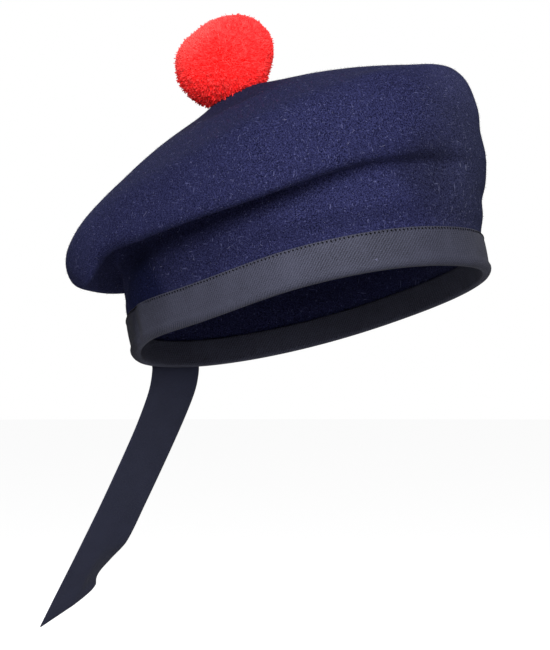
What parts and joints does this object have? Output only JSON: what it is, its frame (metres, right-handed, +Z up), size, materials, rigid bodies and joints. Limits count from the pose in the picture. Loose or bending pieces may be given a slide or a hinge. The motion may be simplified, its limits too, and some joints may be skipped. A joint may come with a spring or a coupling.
{
  "type": "balmoral bonnet",
  "caption": "Flat-crowned felt bonnet: a full soft crown slouched over a ribbon headband, a yarn pompom on top and one ribbon tail hanging behind the neck.",
  "frame": {"origin": "middle of the head opening, at the headband's lower edge, where the bonnet sits on a head", "axes": "+Z up as it is worn, tilted back; the wearer looks along -Y; +X is the wearer's left"},
  "size_m": [0.1984, 0.2893, 0.3347],
  "materials": {
    "navy_felt": "matte wool felt with a short nap",
    "black_ribbon": "twill weave with a faint sheen",
    "red_yarn": "fluffy cut wool yarn"
  },
  "bodies": {
    "root": {"crown": "navy_felt", "headband": "black_ribbon", "pompom": "red_yarn", "ribbon_tail": "black_ribbon"}
  },
  "joints": []
}
